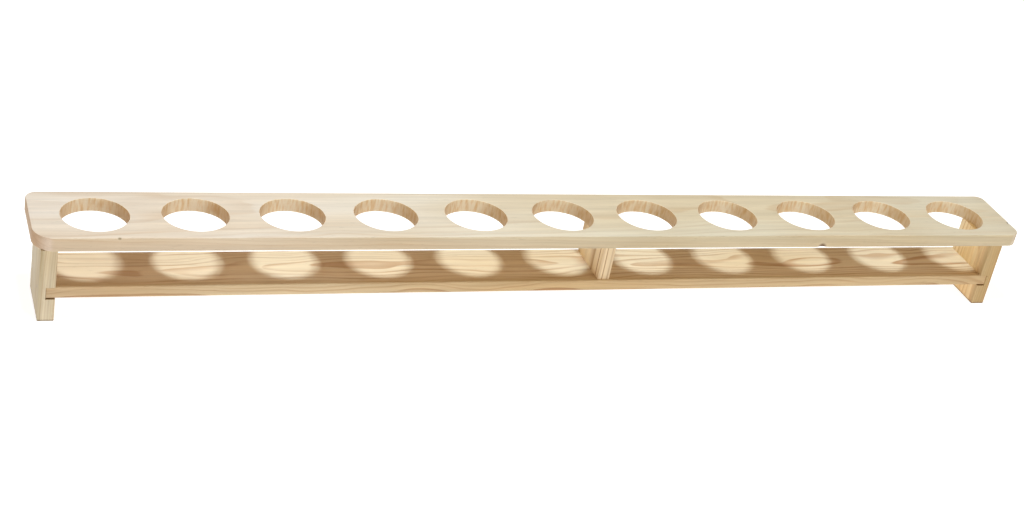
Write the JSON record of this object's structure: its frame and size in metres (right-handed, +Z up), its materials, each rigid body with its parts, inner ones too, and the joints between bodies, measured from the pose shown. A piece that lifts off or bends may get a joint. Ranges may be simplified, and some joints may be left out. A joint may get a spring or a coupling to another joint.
{
  "type": "wooden vessel rack",
  "caption": "Long low wooden rack: a top board with a row of round through holes over a plain shelf, two end panels as feet and a short divider between shelf and top.",
  "frame": {"origin": "on the ground, at the centre of the footprint box", "axes": "+X along the rack, +Y towards the back, where the top board overhangs the feet, +Z up"},
  "size_m": [0.998, 0.0836, 0.0844],
  "materials": {
    "pine_top": "planed and sanded, unfinished",
    "pine_shelf": "planed and sanded, unfinished",
    "pine_upright": "planed and sanded, unfinished",
    "beech_dowel": "turned, unfinished",
    "steel_pin": "bright wire"
  },
  "bodies": {
    "root": {"top_board": "pine_top", "shelf_board": "pine_shelf", "left_end_panel": "pine_upright", "right_end_panel": "pine_upright", "centre_divider": "pine_upright", "dowel_left_front": "beech_dowel", "dowel_left_back": "beech_dowel", "dowel_right_front": "beech_dowel", "dowel_right_back": "beech_dowel", "dowel_divider_front": "beech_dowel", "dowel_divider_back": "beech_dowel", "pin_left_front": "steel_pin", "pin_left_back": "steel_pin", "pin_right_front": "steel_pin", "pin_right_back": "steel_pin", "pin_divider_front": "steel_pin", "pin_divider_back": "steel_pin"}
  },
  "joints": []
}
